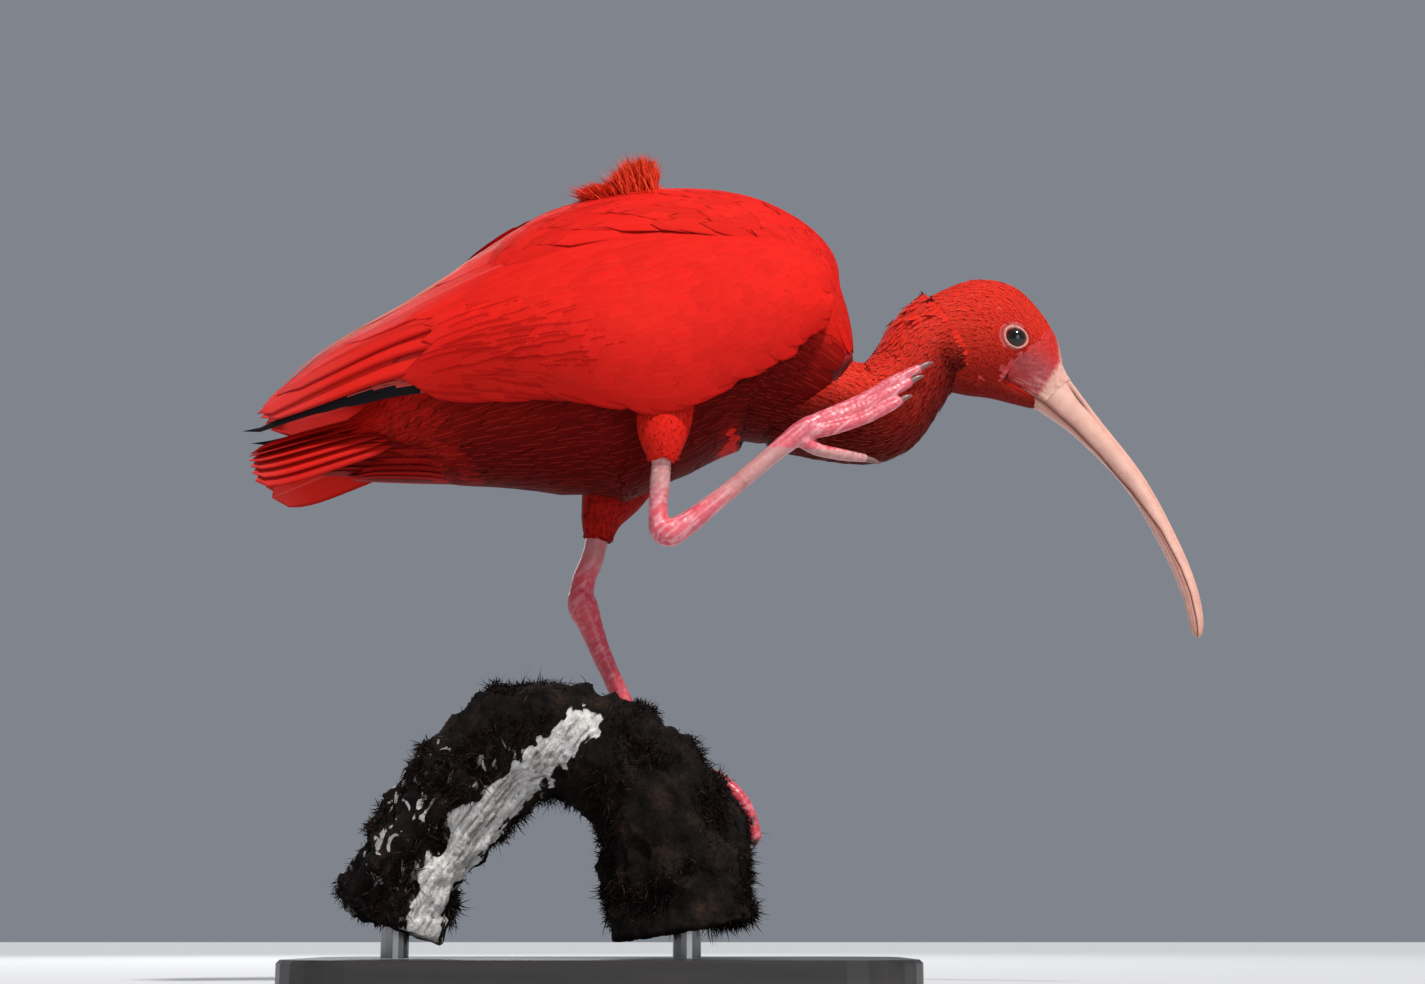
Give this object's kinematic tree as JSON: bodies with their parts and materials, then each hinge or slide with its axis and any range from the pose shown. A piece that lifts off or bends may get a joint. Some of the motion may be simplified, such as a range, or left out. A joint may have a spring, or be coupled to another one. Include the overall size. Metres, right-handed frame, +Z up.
{
  "type": "scarlet ibis model",
  "caption": "Life-size still model of a scarlet ibis standing on one leg on a short cut branch, scratching its neck with the other foot, on a plain display stand.",
  "frame": {"origin": "centre of the underside of the stand's base plate", "axes": "+Z up; +X the way the bird faces and the longest way; +Y the bird's left side"},
  "size_m": [0.4361, 0.17, 0.3826],
  "materials": {
    "red_feathers": "matt vaned feathers, scarlet",
    "bill": "satin horn, salmon pink with a greyer tip",
    "eye": "clear, dark brown",
    "leg_skin": "scaled skin, rose pink",
    "claw": "satin horn, grey brown",
    "bark": "rough dark bark with pale bare wood",
    "stand_plate": "satin black stain",
    "stand_metal": "brushed"
  },
  "bodies": {
    "root": {"bill_lower": "bill", "bill_upper": "bill", "claw_left_hind": "claw", "claw_left_inner": "claw", "claw_left_middle": "claw", "claw_left_outer": "claw", "claw_right_hind": "claw", "claw_right_inner": "claw", "claw_right_middle": "claw", "claw_right_outer": "claw", "eye_left": "eye", "eye_right": "eye", "head": "red_feathers", "neck_lower": "red_feathers", "neck_upper": "red_feathers", "perch_branch": "bark", "perch_limb": "bark", "perch_stub": "bark", "shank_left": "leg_skin", "shank_right": "leg_skin", "stand_base": "stand_plate", "stand_rod_left": "stand_metal", "stand_rod_right": "stand_metal", "tail": "red_feathers", "tarsus_left": "leg_skin", "tarsus_right": "leg_skin", "thigh_left": "red_feathers", "thigh_right": "red_feathers", "toe_left_hind": "leg_skin", "toe_left_inner": "leg_skin", "toe_left_middle": "leg_skin", "toe_left_outer": "leg_skin", "toe_right_hind": "leg_skin", "toe_right_inner": "leg_skin", "toe_right_middle": "leg_skin", "toe_right_outer": "leg_skin", "torso": "red_feathers", "wing_left": "red_feathers", "wing_right": "red_feathers"}
  },
  "joints": []
}
